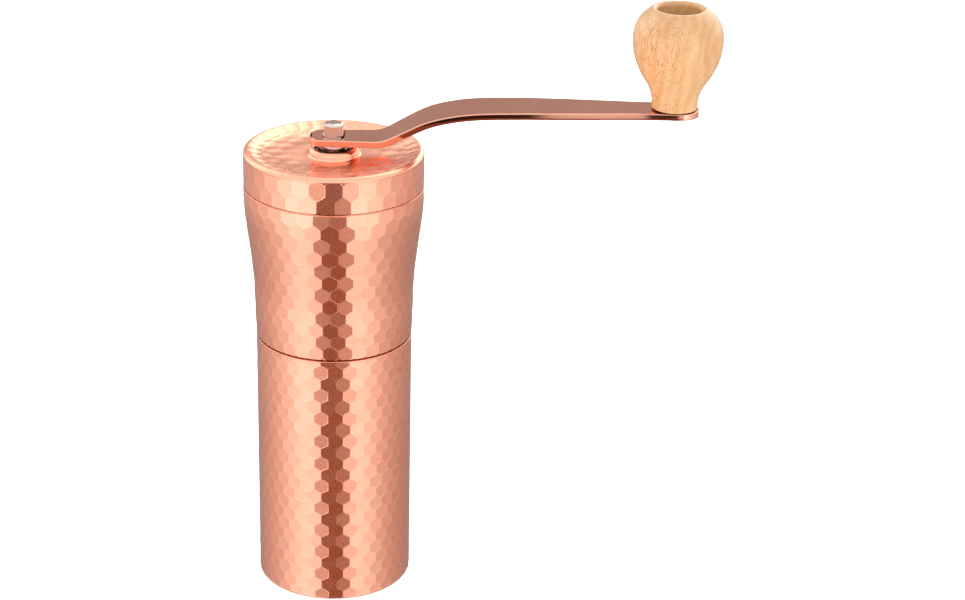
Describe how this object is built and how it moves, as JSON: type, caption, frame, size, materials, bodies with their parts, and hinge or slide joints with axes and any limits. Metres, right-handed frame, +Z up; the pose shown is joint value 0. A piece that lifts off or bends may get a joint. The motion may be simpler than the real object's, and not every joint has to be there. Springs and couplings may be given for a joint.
{
  "type": "hand coffee mill",
  "caption": "Slender hand coffee mill in hammered copper: hopper body over a catch cup, lid, and a cranked handle with a turning wooden knob.",
  "frame": {"origin": "centre of the catch cup's flat base, on the mill's axis", "axes": "+Z up along the mill's axis, +X from the mill's axis towards the crank knob"},
  "size_m": [0.1542, 0.0592, 0.2035],
  "materials": {
    "satin_copper": "satin brushed copper with pressed hexagon facets",
    "bright_copper": "mirror-polished copper plating",
    "steel": "satin turned steel",
    "chrome": "bright chrome plating",
    "black_plastic": "moulded, fine matte",
    "ceramic": "sintered, unglazed",
    "beech": "turned beech, clear lacquer",
    "bronze": "sintered bronze, plain",
    "rubber": "matte"
  },
  "bodies": {
    "cup": {"catch_cup": "satin_copper"},
    "body": {"body_shell": "satin_copper", "grind_housing": "black_plastic", "neck_seal": "rubber", "bridge": "black_plastic", "bridge_bush": "bronze", "bridge_screw_1": "steel", "bridge_screw_2": "steel", "bridge_screw_3": "steel", "ring_burr": "ceramic", "burr_retainer": "black_plastic"},
    "lid": {"lid": "satin_copper", "lid_insert": "black_plastic", "lid_bush": "black_plastic"},
    "shaft": {"drive_shaft": "steel", "shaft_collar": "chrome", "shaft_clip": "steel", "thrust_washer": "steel", "burr_spring": "steel"},
    "burr": {"cone_burr": "ceramic", "burr_core": "black_plastic", "click_plate": "steel"},
    "nut": {"adjust_nut": "black_plastic"},
    "arm": {"crank_arm": "bright_copper", "knob_pin": "steel", "knob_washer": "steel", "pin_collar": "steel"},
    "knob": {"knob": "beech"}
  },
  "joints": [
    {"name": "body_lift", "type": "slide", "parent": "cup", "child": "body", "axis": [0, 0, 1], "range_m": [0, 0.06]},
    {"name": "lid_lift", "type": "slide", "parent": "body", "child": "lid", "axis": [0, 0, 1], "range_m": [0, 0.03]},
    {"name": "crank_spin", "type": "hinge", "parent": "body", "child": "shaft", "pos_m": [0, 0, 0.11], "axis": [0, 0, 1], "continuous": true},
    {"name": "arm_lift", "type": "slide", "parent": "shaft", "child": "arm", "axis": [0, 0, 1], "range_m": [0, 0.06]},
    {"name": "knob_spin", "type": "hinge", "parent": "arm", "child": "knob", "pos_m": [0.11, 0, 0.18], "axis": [0, 0, 1], "continuous": true},
    {"name": "burr_travel", "type": "slide", "parent": "shaft", "child": "burr", "axis": [0, 0, 1], "range_m": [0, 0.0015], "deforming": ["burr_spring"]},
    {"name": "adjust_turn", "type": "hinge", "parent": "burr", "child": "nut", "pos_m": [0, 0, 0.0725], "axis": [0, 0, 1], "range_deg": [0, 540]}
  ],
  "couplings": [
    {"joint": "lid_lift", "follows": "arm_lift", "ratio": 0.5},
    {"joint": "adjust_turn", "follows": "burr_travel", "rad_per_m": 6283.2}
  ]
}
